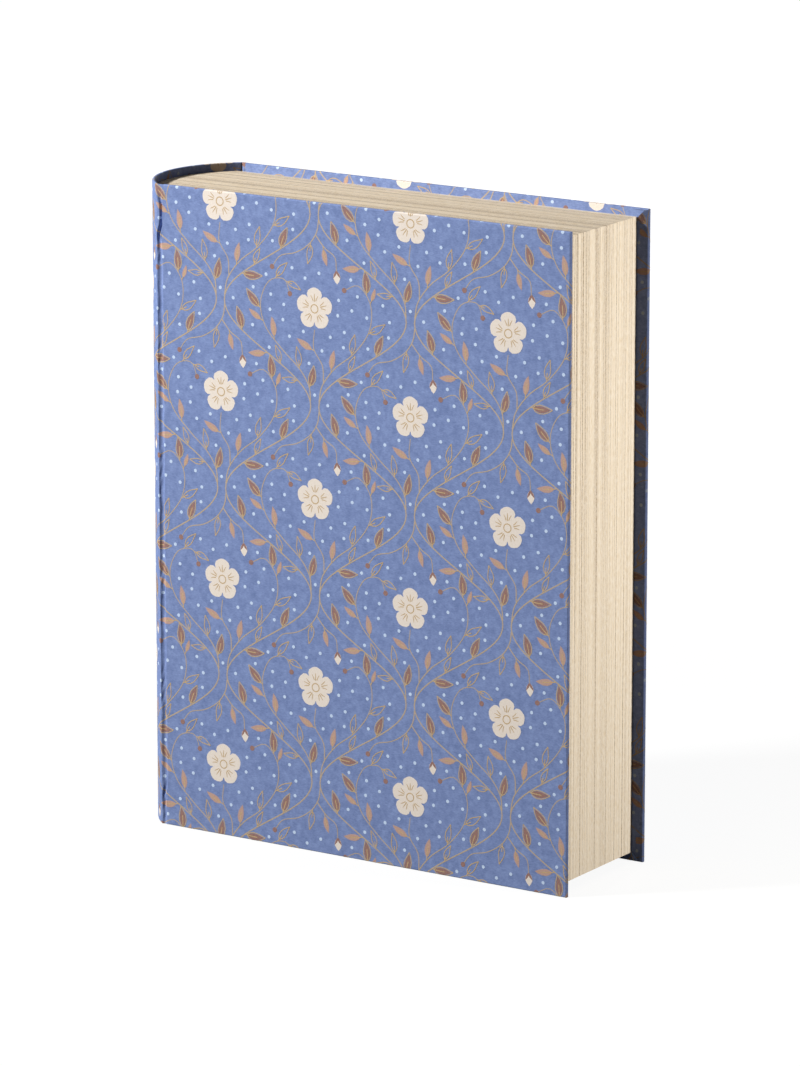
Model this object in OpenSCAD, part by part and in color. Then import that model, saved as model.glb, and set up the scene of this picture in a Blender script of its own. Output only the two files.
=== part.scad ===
// Box for papers and keepsakes, made like a hardback book with a rounded spine.
// It stands on the tail edges of its covers. The front cover is the lid and turns on the joint
// beside the spine. A shallow tray on the back cover stands for the pages.
// X runs from the spine to the fore edge, Y from the front cover to the back cover and Z from
// tail to head. The origin is the middle of the footprint, on the surface that the box stands on.

/* [Covers] */
// Height of the covers, from tail to head
cover_h = 330; // [240:1:420]
// Width of a cover, from the joint to the fore edge
cover_w = 239; // [160:1:320]
// Depth of the closed box, across both covers
box_d = 75; // [50:1:110]
// Thickness of the cover boards
board_t = 2; // [1.5:0.1:3]
// Thickness of the printed covering paper
paper_t = 0.2; // [0.1:0.05:0.4]
// Width of covering paper turned in over the board edges
turn_in = 15; // [8:1:25]
// How far the covers stand out past the pages at the fore edge
square_fore = 6.5; // [3:0.5:12]
// How far the covers stand out past the pages at head and tail
square_end = 4.3; // [2:0.1:10]

/* [Spine and joint] */
// How far the rounded spine bows out past the joint
spine_bow = 20; // [12:1:30]
// Thickness of the spine card
card_t = 1; // [0.5:0.1:1.5]
// Width of the joint, between a cover board and the spine card
joint_w = 4; // [2:0.1:6]
// Depth of the groove pressed into the joint
groove_depth = 1; // [0.6:0.1:1.4]

/* [Tray] */
// Thickness of the tray walls
wall_t = 2.5; // [2:0.1:4]
// Thickness of the tray floor
floor_t = 2; // [1:0.1:4]
// Gap between the closed lid and the rim of the tray
rim_gap = 0.2; // [0.1:0.05:1]
// Thickness of the paper that stands for the page edges
page_t = 0.3; // [0.2:0.05:0.5]
// Width of page edge paper turned down inside the tray
page_turn = 15; // [6:1:25]
// Thickness of the lining paper
lining_t = 0.2; // [0.1:0.05:0.3]
// Thickness of the glue between the tray and the hollow of the spine
glue_t = 0.05; // [0.02:0.01:0.2]
// Width of each leg of the tape over the tray's outer corners
stay_w = 12; // [6:1:20]
// Thickness of the corner tape
stay_t = 0.15; // [0.1:0.05:0.25]

/* [Catch] */
// Distance of the magnets from the inner ends of the tray
catch_inset = 55; // [20:1:90]
// Length of a magnet and of its keeper plate
catch_l = 12; // [6:1:20]
// Thickness of a magnet, across the wall
magnet_t = 1.5; // [1:0.1:1.8]
// Depth of a magnet, into the wall
magnet_d = 4; // [2:0.5:8]
// Width of a keeper plate
keeper_w = 4; // [3:0.5:8]
// Thickness of a keeper plate
keeper_t = 0.8; // [0.5:0.1:1.2]

/* [Hidden] */
$fn = 128;

// How far a cutting shape runs past the face that it opens
over = 1;

// Covers
total_w = cover_w + spine_bow;
fore_x = total_w / 2;
joint_x = fore_x - cover_w;
front_y = -box_d / 2;
cover_t = board_t + 2 * paper_t;
board_x = joint_x + joint_w / 2;
board_y = front_y + paper_t;
board_in_y = board_y + board_t;
cover_in_y = front_y + cover_t;

// Spine, an arc through both of its edges
spine_edge_x = joint_x - joint_w / 2;
sagitta = spine_bow - joint_w / 2;
spine_r = (pow(box_d / 2, 2) + pow(sagitta, 2)) / (2 * sagitta);
spine_x = spine_r - total_w / 2;
card_r = spine_r - paper_t;
card_in_r = card_r - card_t;
hollow_r = card_in_r - paper_t;
tray_r = hollow_r - glue_t;

// Groove of the joint, an arc as deep as the groove between board and card
groove_r = (pow(joint_w / 2, 2) + pow(groove_depth, 2)) / (2 * groove_depth);
groove_y = front_y + groove_depth - groove_r;

// Tray, from its outer faces inwards
page_x = fore_x - square_fore;
wall_x = page_x - page_t;
in_fore_x = wall_x - wall_t;
wall_z = cover_h - square_end - page_t;
in_head_z = wall_z - wall_t;
in_tail_z = cover_h - in_head_z;
rim_y = cover_in_y + rim_gap;
wall_rim_y = rim_y + page_t;
tray_back_y = -cover_in_y;
floor_y = tray_back_y - floor_t;
lining_rim_y = wall_rim_y - lining_t;
spine_wall_x = spine_x - sqrt(pow(tray_r, 2) - pow(lining_rim_y, 2));
in_spine_x = spine_wall_x + wall_t;
// Where the wall linings meet the turned down page paper
lining_y = wall_rim_y + page_turn;
// Clear room that each paper leaves for its neighbour at an inner corner
corner_t = max(page_t, lining_t);

// Catch
catch_x = (in_fore_x + wall_x) / 2;
catch_z = in_head_z - catch_inset;

printed_blue = "#7d8fc0";
board_grey = "#a99c88";
card_grey = "#9b9083";
page_cream = "#eaddc8";
lining_cream = "#efe6d6";
tape_brown = "#b98f5e";
magnet_steel = "#8d9096";

// A box between two opposite corners
module block(low, high) {
    translate(low) cube(high - low);
}

// A plan drawn upright between two heights
module upright(low_z, high_z) {
    translate([0, 0, low_z]) linear_extrude(high_z - low_z) children();
}

// The same piece at the tail, turned over about the middle of the height
module at_tail() {
    translate([0, 0, cover_h]) mirror([0, 0, 1]) children();
}

// A cover board, drawn for the front
module cover_board() {
    block([board_x, board_y, paper_t], [fore_x - paper_t, board_in_y, cover_h - paper_t]);
}

// Printed paper over one face of a cover board, turned in over three of its edges
module wrapped_paper() {
    difference() {
        block([board_x, front_y, 0], [fore_x, cover_in_y, cover_h]);
        block([board_x - over, board_y, paper_t], [fore_x - paper_t, board_in_y, cover_h - paper_t]);
        block(
            [board_x - over, board_in_y - over, turn_in],
            [fore_x - turn_in, cover_in_y + over, cover_h - turn_in]
        );
    }
}

// Plan of one layer in the groove of the joint, between two depths behind the printed face
module groove_plan(low_t, high_t) {
    intersection() {
        translate([joint_x, groove_y]) difference() {
            circle(r = groove_r + high_t);
            circle(r = groove_r + low_t);
        }
        translate([spine_edge_x, front_y]) square([joint_w, cover_t]);
    }
}

// Printed paper across the joint, doubled where it is turned in at head and tail
module groove_paper() {
    upright(0, cover_h) groove_plan(0, paper_t);
    upright(0, turn_in) groove_plan(paper_t, 2 * paper_t);
    upright(cover_h - turn_in, cover_h) groove_plan(paper_t, 2 * paper_t);
}

// Plan of one layer of the rounded spine, between two radii and up to one X
module spine_plan(outer_r, inner_r, high_x = spine_edge_x) {
    intersection() {
        translate([spine_x, 0]) difference() {
            circle(r = outer_r);
            circle(r = inner_r);
        }
        translate([-total_w, front_y]) square([high_x + total_w, box_d]);
    }
}

// Plan of the tray between two Y, rounded on the spine side to lie in the hollow of the spine
module tray_plan(low_y, high_y, high_x) {
    intersection() {
        translate([-total_w, low_y]) square([total_w + high_x, high_y - low_y]);
        union() {
            translate([spine_x, 0]) circle(r = tray_r);
            translate([spine_x, front_y]) square([total_w, box_d]);
        }
    }
}

module back_board() {
    color(board_grey) mirror([0, 1, 0]) cover_board();
}

// Printed paper over the back board, run on over the lip of its groove and into the groove
module back_cover_paper() {
    color(printed_blue) mirror([0, 1, 0]) {
        wrapped_paper();
        groove_paper();
        block([board_x - paper_t / 2, front_y, 0], [board_x + paper_t, board_y, cover_h]);
    }
}

module spine_card() {
    color(card_grey) upright(paper_t, cover_h - paper_t) spine_plan(card_r, card_in_r);
}

// Printed paper round the spine, turned in over the ends of the card
module spine_paper() {
    color(printed_blue) difference() {
        upright(0, cover_h) spine_plan(spine_r, hollow_r);
        upright(paper_t, cover_h - paper_t) spine_plan(card_r, card_in_r, joint_x);
        upright(turn_in, cover_h - turn_in) spine_plan(card_in_r + paper_t, hollow_r - over, joint_x);
    }
}

module tray_floor() {
    color(board_grey) upright(cover_h - wall_z, wall_z) tray_plan(floor_y, tray_back_y, wall_x);
}

// Tape folded round the outer corner between the head wall and the fore edge wall
module corner_stay() {
    difference() {
        block([wall_x - stay_w, wall_rim_y, wall_z - stay_w], [wall_x, floor_y, wall_z]);
        block(
            [wall_x - stay_w - over, wall_rim_y - over, wall_z - stay_w - over],
            [wall_x - stay_t, floor_y + over, wall_z - stay_t]
        );
    }
}

module corner_stays() {
    color(tape_brown) {
        corner_stay();
        at_tail() corner_stay();
    }
}

module head_wall() {
    color(board_grey) difference() {
        upright(in_head_z, wall_z) tray_plan(wall_rim_y, floor_y, wall_x);
        corner_stay();
    }
}

module tail_wall() {
    at_tail() head_wall();
}

// Wall along the fore edge, with a slot in its rim for each magnet
module fore_edge_wall() {
    color(board_grey) difference() {
        block([in_fore_x, wall_rim_y, in_tail_z], [wall_x, floor_y, in_head_z]);
        corner_stay();
        at_tail() corner_stay();
        magnet_pair();
    }
}

// Straight wall across the hollow of the spine, its rim set where the spine comes down to it
module spine_side_wall() {
    color(board_grey) block([spine_wall_x, wall_rim_y, in_tail_z], [in_spine_x, floor_y, in_head_z]);
}

// Page edge paper over the head, the rim of the head wall and a strip inside the tray
module head_page_paper() {
    color(page_cream) {
        upright(wall_z, wall_z + page_t) tray_plan(rim_y, tray_back_y, page_x);
        upright(in_head_z - page_t, wall_z) tray_plan(rim_y, wall_rim_y, wall_x);
        block([in_spine_x, wall_rim_y, in_head_z - page_t], [in_fore_x, lining_y, in_head_z]);
    }
}

module tail_page_paper() {
    at_tail() head_page_paper();
}

module fore_edge_page_paper() {
    color(page_cream) {
        block([wall_x, rim_y, cover_h - wall_z], [page_x, tray_back_y, wall_z]);
        block([in_fore_x - page_t, rim_y, in_tail_z + page_t], [wall_x, wall_rim_y, in_head_z - page_t]);
        block(
            [in_fore_x - page_t, wall_rim_y, in_tail_z + page_t],
            [in_fore_x, lining_y, in_head_z - page_t]
        );
    }
}

module floor_lining() {
    color(lining_cream) block([in_spine_x, floor_y - lining_t, in_tail_z], [in_fore_x, floor_y, in_head_z]);
}

module head_lining() {
    color(lining_cream) block(
        [in_spine_x, lining_y, in_head_z - lining_t],
        [in_fore_x, floor_y - lining_t, in_head_z]
    );
}

module tail_lining() {
    at_tail() head_lining();
}

module fore_edge_lining() {
    color(lining_cream) block(
        [in_fore_x - lining_t, lining_y, in_tail_z + corner_t],
        [in_fore_x, floor_y - lining_t, in_head_z - corner_t]
    );
}

// Lining of the spine side wall, carried over the rim of the wall
module spine_side_lining() {
    low_z = in_tail_z + corner_t;
    high_z = in_head_z - corner_t;
    color(lining_cream) {
        block([in_spine_x, lining_rim_y, low_z], [in_spine_x + lining_t, floor_y - lining_t, high_z]);
        block([spine_wall_x, lining_rim_y, low_z], [in_spine_x, wall_rim_y, high_z]);
    }
}

module magnet() {
    block(
        [catch_x - magnet_t / 2, wall_rim_y, catch_z - catch_l / 2],
        [catch_x + magnet_t / 2, wall_rim_y + magnet_d, catch_z + catch_l / 2]
    );
}

module magnet_pair() {
    magnet();
    at_tail() magnet();
}

module tray_magnets() {
    color(magnet_steel) magnet_pair();
}

module joint_paper() {
    color(printed_blue) groove_paper();
}

// Lining paper glued behind the printed paper in the joint of the lid
module joint_liner() {
    color(lining_cream) upright(turn_in, cover_h - turn_in) groove_plan(paper_t, paper_t + lining_t);
}

module keeper() {
    block(
        [catch_x - keeper_w / 2, board_in_y - keeper_t, catch_z - catch_l / 2],
        [catch_x + keeper_w / 2, board_in_y, catch_z + catch_l / 2]
    );
}

module keeper_pair() {
    keeper();
    at_tail() keeper();
}

// Board of the lid, with a recess for each keeper plate
module front_board() {
    color(board_grey) difference() {
        cover_board();
        keeper_pair();
    }
}

module front_cover_paper() {
    color(printed_blue) wrapped_paper();
}

module lid_lining() {
    color(lining_cream) block(
        [board_x, board_in_y, turn_in],
        [fore_x - turn_in, board_in_y + lining_t, cover_h - turn_in]
    );
}

module lid_keepers() {
    color(magnet_steel) keeper_pair();
}

back_board();
back_cover_paper();
spine_card();
spine_paper();
tray_floor();
head_wall();
tail_wall();
fore_edge_wall();
spine_side_wall();
corner_stays();
head_page_paper();
tail_page_paper();
fore_edge_page_paper();
floor_lining();
head_lining();
tail_lining();
fore_edge_lining();
spine_side_lining();
tray_magnets();
joint_paper();
joint_liner();
front_board();
front_cover_paper();
lid_lining();
lid_keepers();
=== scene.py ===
import math
from functools import partial

import bmesh
import bpy
import numpy as np
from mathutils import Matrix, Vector


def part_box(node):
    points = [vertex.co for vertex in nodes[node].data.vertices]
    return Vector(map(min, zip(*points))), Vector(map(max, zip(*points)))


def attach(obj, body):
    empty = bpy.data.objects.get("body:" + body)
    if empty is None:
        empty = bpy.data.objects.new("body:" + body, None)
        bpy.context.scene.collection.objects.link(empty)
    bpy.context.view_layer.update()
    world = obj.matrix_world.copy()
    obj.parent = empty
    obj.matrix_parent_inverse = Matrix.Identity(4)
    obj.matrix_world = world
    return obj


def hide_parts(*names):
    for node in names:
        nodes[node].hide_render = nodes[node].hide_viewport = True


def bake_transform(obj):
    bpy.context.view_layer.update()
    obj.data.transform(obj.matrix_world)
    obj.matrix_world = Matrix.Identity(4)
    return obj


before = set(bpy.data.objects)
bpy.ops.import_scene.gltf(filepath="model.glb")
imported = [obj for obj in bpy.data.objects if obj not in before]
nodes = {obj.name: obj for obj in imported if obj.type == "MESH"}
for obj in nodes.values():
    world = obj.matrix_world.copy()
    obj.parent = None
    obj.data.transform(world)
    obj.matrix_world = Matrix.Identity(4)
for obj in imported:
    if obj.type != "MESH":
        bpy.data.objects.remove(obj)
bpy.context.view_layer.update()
mm = 0.001
print("frame loaded,", len(nodes), "nodes")


def placeObject(name, data):
    piece = bpy.data.objects.new(name, data)
    bpy.context.scene.collection.objects.link(piece)
    return piece


def placeMesh(name, points, faces, materials=()):
    mesh = bpy.data.meshes.new(name)
    mesh.from_pydata(points, [], faces)
    for each in materials:
        mesh.materials.append(each)
    return placeObject(name, mesh)


# Camera, stood where the photographer stood
view = {
    "azimuth": 33.0,  # degrees to the right of the lid's face
    "elevation": 13.39,
    "distance": 3.0234,  # m
    "lens": 205.3,  # mm
    "sensor": 36.0,  # mm
    "nearest": 0.05,  # m
    "target": (0.0086, 0.0, 0.1599),
}


def makeCamera():
    azimuth = math.radians(view["azimuth"])
    elevation = math.radians(view["elevation"])
    back = Vector((
        math.sin(azimuth) * math.cos(elevation),
        -math.cos(azimuth) * math.cos(elevation),
        math.sin(elevation),
    ))
    data = bpy.data.cameras.new("camera")
    data.lens = view["lens"]
    data.sensor_width = view["sensor"]
    data.clip_start = view["nearest"]
    camera = placeObject("camera", data)
    camera.location = Vector(view["target"]) + view["distance"] * back
    camera.rotation_euler = back.to_track_quat("Z", "Y").to_euler()
    bpy.context.scene.camera = camera


makeCamera()
print("camera set")


# Colours and nodes
def linear(code):
    # an sRGB hex value as linear light
    channels = [int(code[i:i + 2], 16) / 255 for i in (1, 3, 5)]
    return tuple(c / 12.92 if c <= 0.04045 else ((c + 0.055) / 1.055) ** 2.4 for c in channels) + (1.0,)


def addNode(tree, kind, inputs=None, stops=(), **settings):
    # each input is a value, or the output of another node that it is linked to
    node = tree.nodes.new(kind)
    for name, value in settings.items():
        setattr(node, name, value)
    for socket, source in (inputs or {}).items():
        if isinstance(source, bpy.types.NodeSocket):
            tree.links.new(source, node.inputs[socket])
        else:
            node.inputs[socket].default_value = source
    for i, (place, colour) in enumerate(stops):
        ramp = node.color_ramp.elements
        stop = ramp[i] if i < 2 else ramp.new(place)
        stop.position = place
        stop.color = colour
    return node.outputs


def startMaterial(name):
    made = bpy.data.materials.new(name)
    made.use_nodes = True
    made.node_tree.nodes.clear()
    add = partial(addNode, made.node_tree)
    return made, add, add("ShaderNodeTexCoord")["Object"]


def shadeSurface(add, colour, style, rise=None):
    # the surface with its finish, and with a relief where its rise is given
    inputs = {"Base Color": colour, "Roughness": style["roughness"], "Specular IOR Level": style["gloss"]}
    inputs["Metallic"] = style.get("metallic", 0.0)
    if rise:
        relief = {"Height": rise, "Strength": style["bump"], "Distance": style["relief"] * mm}
        inputs["Normal"] = add("ShaderNodeBump", relief)[0]
    shader = add("ShaderNodeBsdfPrincipled", inputs)
    add("ShaderNodeOutputMaterial", {"Surface": shader[0]})


# Pale floor and soft studio light
studio = {
    "floorHalf": 9.0,  # m, half of the floor's side
    "floorSeen": "#5a5a59",  # what the camera sees, under the glow
    "floorBack": "#3a3835",  # what the floor gives back to the box
    "floorGlow": (0.9, 1.0),  # near and far; only the camera and mirrored rays see it
    "glowReach": (0.3, 1.1),  # m from the box, near and far
    "skyLight": 0.1,  # what the room gives back to the shaded sides
    "aim": (0.0, 0.0, 0.16),
    # where a lamp stands and how wide it is, in m, and its power in W; the back lamp is lower than the
    # page block's head, so it lights only the back
    "lamps": {
        "keyLamp": ((-1.124, -1.164, 1.336), 0.29, 53.0),
        "sideLamp": ((0.72, 0.12, 0.3), 0.1, 3.85),
        "backLamp": ((-0.35, 2.2, 0.3), 0.4, 34.0),
    },
}


def makeStage():
    paintedFloor, add, where = startMaterial("studioFloor")
    rays = add("ShaderNodeLightPath")
    toCamera = rays["Is Camera Ray"]
    back, front = (linear(studio[side]) for side in ("floorBack", "floorSeen"))
    colour = add("ShaderNodeMix", {0: toCamera, 6: back, 7: front}, data_type="RGBA")
    paint = add("ShaderNodeBsdfDiffuse", {"Color": colour[2]})
    seen = add("ShaderNodeMath", {0: toCamera, 1: rays["Is Glossy Ray"]}, operation="MAXIMUM")
    away = add("ShaderNodeVectorMath", {0: where}, operation="LENGTH")
    near, far = studio["glowReach"]
    low, high = studio["floorGlow"]
    span = {"Value": away["Value"], "From Min": near, "From Max": far, "To Min": low, "To Max": high}
    level = add("ShaderNodeMapRange", span, interpolation_type="SMOOTHSTEP")
    amount = add("ShaderNodeMath", {0: seen[0], 1: level[0]}, operation="MULTIPLY")
    glow = add("ShaderNodeEmission", {"Strength": amount[0]})
    both = add("ShaderNodeAddShader", {0: paint[0], 1: glow[0]})
    add("ShaderNodeOutputMaterial", {"Surface": both[0]})
    half = studio["floorHalf"]
    corners = [(-half, -half, 0), (half, -half, 0), (half, half, 0), (-half, half, 0)]
    floor = placeMesh("floor", corners, [(0, 1, 2, 3)], [paintedFloor])


def makeWorld():
    world = bpy.data.worlds.new("room")
    bpy.context.scene.world = world
    world.use_nodes = True
    world.node_tree.nodes.clear()
    add = partial(addNode, world.node_tree)
    rays = add("ShaderNodeLightPath")
    seen = rays["Is Camera Ray"]
    for ray in ("Is Glossy Ray", "Is Transmission Ray"):
        seen = add("ShaderNodeMath", {0: seen, 1: rays[ray]}, operation="MAXIMUM")[0]
    strength = add("ShaderNodeMapRange", {"Value": seen, "To Min": studio["skyLight"]})
    light = add("ShaderNodeBackground", {"Strength": strength[0]})
    add("ShaderNodeOutputWorld", {"Surface": light[0]})


def makeLamps():
    for name, (place, size, power) in studio["lamps"].items():
        data = bpy.data.lights.new(name, "AREA")
        data.shape = "DISK"
        data.size = size
        data.energy = power
        lamp = placeObject(name, data)
        lamp.visible_camera = False
        lamp.location = place
        lamp.rotation_euler = (Vector(place) - Vector(studio["aim"])).to_track_quat("Z", "Y").to_euler()


bpy.context.scene.view_settings.view_transform = "Standard"
makeStage()
makeWorld()
makeLamps()
print("stage and lamps set")


# Papers and boards
def addPaintedShade(add, colour, paintedShadeColour):
    # painted shade: the sheet's colour is darkened over the fore edges and the spine's ends, where its
    # turn-ins lie in shade
    turned = add("ShaderNodeAttribute", attribute_name="turned")
    return add("ShaderNodeMix", {0: turned["Fac"], 6: colour, 7: linear(paintedShadeColour)},
               data_type="RGBA", blend_type="MULTIPLY")[2]


pulp = {
    "slants": ((0.3, 0.5, 0.2), (0.3, -0.9, 0.2)),  # radians, of the two layers of fibres
    "stretch": (0.4, 0.7, 1.0),
    "fibreShare": 0.36,  # of the fibres in the tone, and what is taken off it again
    "fibreShift": -0.11,
    "cloudShare": 0.5,
    "stops": {"dark": 0.32, "light": 0.68, "base": 0.5},
    "relief": 0.15,  # mm
}


def fibrePaper(name, style):
    # Pulp laid on a wire: soft clouds, short fibres at two slants and a little tooth
    paper, add, where = startMaterial(name)
    cloud, fibre, tooth = (1 / (style[grain] * mm) for grain in ("cloud", "fibre", "tooth"))
    clouds = add("ShaderNodeTexNoise", {"Vector": where, "Scale": cloud, "Detail": 3.0})
    tooth = add("ShaderNodeTexNoise", {"Vector": where, "Scale": tooth, "Detail": 3.0})
    fibres = []
    for slant in pulp["slants"]:
        place = {"Vector": where, "Rotation": slant, "Scale": pulp["stretch"]}
        laid = add("ShaderNodeMapping", place)
        grain = {"Vector": laid[0], "Scale": fibre, "Detail": 2.0, "Roughness": 0.6}
        fibres.append(add("ShaderNodeTexNoise", grain)["Fac"])
    crossed = add("ShaderNodeMath", {0: fibres[0], 1: fibres[1]}, operation="ADD")
    softened = add("ShaderNodeMath", {0: crossed[0], 1: pulp["fibreShare"], 2: pulp["fibreShift"]},
                   operation="MULTIPLY_ADD")
    mixed = add("ShaderNodeMath", {0: clouds["Fac"], 1: pulp["cloudShare"], 2: softened[0]},
                operation="MULTIPLY_ADD")
    stops = [(place, linear(style[shade])) for shade, place in pulp["stops"].items()]
    tone = add("ShaderNodeValToRGB", {"Fac": mixed[0]}, stops)
    relief = add("ShaderNodeMath", {0: tooth["Fac"], 1: softened[0]}, operation="ADD")
    # painted shade over the turned edges, for a paper that has a shade colour
    colour = addPaintedShade(add, tone[0], style["paintedShadeColour"]) if "paintedShadeColour" in style else tone[0]
    shadeSurface(add, colour, {**pulp, **style}, relief[0])
    return paper


# sizes of cloud, fibre and tooth are in mm
papers = {
    # uncoated wove paper, printed all over in blue: dull, faintly mottled, no shine
    "printedWovePaper": {
        # the fourth colour darkens it as painted shade over its turned edges
        "base": "#8193c3", "light": "#90a4d3", "dark": "#7083b2", "paintedShadeColour": "#aea9a6",
        "cloud": 3.0, "fibre": 0.55, "tooth": 0.4, "bump": 0.3, "roughness": 0.82, "gloss": 0.12,
    },
    # the same paper where it is cut: its white pulp shows
    "cutPaperEdge": {
        "base": "#cfd0dc", "light": "#e2e0e4", "dark": "#b3b6cc",
        "cloud": 2.0, "fibre": 0.5, "tooth": 0.3, "bump": 0.2, "roughness": 0.9, "gloss": 0.15,
    },
    # cream laid paper inside the box
    "creamLiningPaper": {
        "base": "#dacdb6", "light": "#e0d4bf", "dark": "#d1c3aa",
        "cloud": 9.0, "fibre": 0.9, "tooth": 0.5, "bump": 0.25, "roughness": 0.85, "gloss": 0.15,
    },
    # binder's greyboard, pressed from waste paper: dull grey-brown with flecks
    "greyboard": {
        "base": "#9c9184", "light": "#b3a899", "dark": "#7d7369",
        "cloud": 4.0, "fibre": 1.1, "tooth": 0.6, "bump": 0.6, "roughness": 0.92, "gloss": 0.1,
    },
    # thin bent card of the spine, smoother than the boards
    "spineCard": {
        "base": "#95897c", "light": "#a59a8c", "dark": "#83786d",
        "cloud": 6.0, "fibre": 0.9, "tooth": 0.4, "bump": 0.3, "roughness": 0.88, "gloss": 0.12,
    },
    # brown kraft tape with a gummed back, faintly shiny
    "gummedKraftTape": {
        "base": "#b58b5a", "light": "#c49c6c", "dark": "#a07748",
        "cloud": 3.0, "fibre": 0.8, "tooth": 0.4, "bump": 0.3, "roughness": 0.6, "gloss": 0.4,
    },
}
material = {name: fibrePaper(name, style) for name, style in papers.items()}


pageStyle = {
    "light": "#f8ead5",
    "middle": "#e9d4b3",
    "line": "#80603f",
    # gaps between bundles of leaves: size in mm, where they start and are full, and depth of colour
    "gaps": (
        (1.05, 0.59, 0.67, 0.85),
        (0.6, 0.57, 0.68, 0.6),
        (0.75, 0.59, 0.67, 0.72),
        (6.0, 0.5, 0.7, 0.14),
    ),
    "lineStretch": (0.0008, 1.0, 0.0008),  # a line runs the whole length of the block
    "streakStretch": (0.12, 1.0, 0.12),
    "streak": 0.35,  # mm, across the streaks between the lines
    "streakStops": (0.35, 0.68),  # where they are light and of middle colour
    "speck": 0.9,  # mm
    "speckStops": (0.4, 0.6),  # where they break a line and leave it whole
    "leftOver": 0.5,  # of a line that is broken
    "bump": 0.5,
    "relief": 0.3,  # mm
    "roughness": 0.85,
    "gloss": 0.12,
}


def pageEdgePaper():
    # Paper printed and creased like trimmed page edges: thin lines along the leaves, broken into specks
    paper, add, where = startMaterial("pageEdgePaper")
    long = add("ShaderNodeMapping", {"Vector": where, "Scale": pageStyle["lineStretch"]})
    short = add("ShaderNodeMapping", {"Vector": where, "Scale": pageStyle["streakStretch"]})
    drawn = 0.0
    for size, start, full, weight in pageStyle["gaps"]:
        bundle = {"Vector": long[0], "Scale": 1 / (size * mm), "Detail": 2.0}
        wave = add("ShaderNodeTexNoise", bundle)["Fac"]
        span = {"Value": wave, "From Min": start, "From Max": full, "To Min": 0.0, "To Max": weight}
        line = add("ShaderNodeMapRange", span, interpolation_type="SMOOTHSTEP")
        drawn = add("ShaderNodeMath", {0: drawn, 1: line[0]}, operation="MAXIMUM")[0]
    streak, speck = (1 / (pageStyle[size] * mm) for size in ("streak", "speck"))
    streaks = add("ShaderNodeTexNoise", {"Vector": short[0], "Scale": streak, "Detail": 2.0})
    specks = add("ShaderNodeTexNoise", {"Vector": where, "Scale": speck, "Detail": 3.0, "Roughness": 0.7})
    torn, intact = pageStyle["speckStops"]
    span = {"Value": specks["Fac"], "From Min": torn, "From Max": intact, "To Min": pageStyle["leftOver"]}
    broken = add("ShaderNodeMapRange", span)
    ink = add("ShaderNodeMath", {0: drawn, 1: broken[0]}, operation="MULTIPLY")
    stops = zip(pageStyle["streakStops"], (linear(pageStyle["light"]), linear(pageStyle["middle"])))
    ground = add("ShaderNodeValToRGB", {"Fac": streaks["Fac"]}, stops)
    inked = {0: ink[0], 6: ground[0], 7: linear(pageStyle["line"])}
    colour = add("ShaderNodeMix", inked, data_type="RGBA")
    relief = add("ShaderNodeMath", {0: streaks["Fac"], 1: drawn}, operation="SUBTRACT")
    shadeSurface(add, colour[2], pageStyle, relief[0])
    return paper


magnetStyle = {
    "colour": "#c3c4c6",
    "metallic": 1.0,
    "gloss": 0.5,
    "roughness": (0.22, 0.42),
    "scratch": 0.3,  # mm
    "bump": 0.15,
    "relief": 0.02,  # mm
}


def nickelledSteel():
    # Bright steel, tumbled: fine scratches in every direction under a nickel shine
    steel, add, where = startMaterial("nickelPlatedMagnet")
    scratches = add("ShaderNodeTexNoise",
                    {"Vector": where, "Scale": 1 / (magnetStyle["scratch"] * mm), "Detail": 4.0})
    smoothest, roughest = magnetStyle["roughness"]
    rough = add("ShaderNodeMapRange", {"Value": scratches["Fac"], "To Min": smoothest, "To Max": roughest})
    finish = {**magnetStyle, "roughness": rough[0]}
    shadeSurface(add, linear(magnetStyle["colour"]), finish, scratches["Fac"])
    return steel


inkStyle = {
    "soak": 0.8,  # mm, size of the uneven patches
    "stops": (0.35, 0.62),  # where they are shaded and of full colour
    "roughness": 0.8,
    "gloss": 0.22,
    # the last colour darkens the ink as painted shade over the turned edges
    "paintedShadeColour": "#918a84",
}
# full colour and shade of each ink
inkColours = {
    "dots": ("#d4e6fd", "#c8dcf8"),
    "stem": ("#c6b298", "#bca88d"),
    "tan": ("#c9a798", "#c09c8d"),
    "rose": ("#a27f77", "#96736b"),
    "cream": ("#f6eade", "#efe3d6"),
    "gold": ("#d1b68c", "#c5a87c"),
}


def printingInk(name, colour, shade):
    # Flat offset ink soaked into the paper: dull, and a touch uneven where fibres show through
    ink, add, where = startMaterial(name)
    soak = add("ShaderNodeTexNoise", {"Vector": where, "Scale": 1 / (inkStyle["soak"] * mm), "Detail": 2.0})
    stops = zip(inkStyle["stops"], (linear(shade), linear(colour)))
    tone = add("ShaderNodeValToRGB", {"Fac": soak["Fac"]}, stops)
    # the ink takes the same painted shade over the turned edges as the paper
    shadeSurface(add, addPaintedShade(add, tone[0], inkStyle["paintedShadeColour"]), inkStyle)
    return ink


inkMaterial = {name: printingInk(name + "Ink", *pair) for name, pair in inkColours.items()}
material["pageEdgePaper"] = pageEdgePaper()
material["magnetSteel"] = nickelledSteel()
print("materials made")


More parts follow.
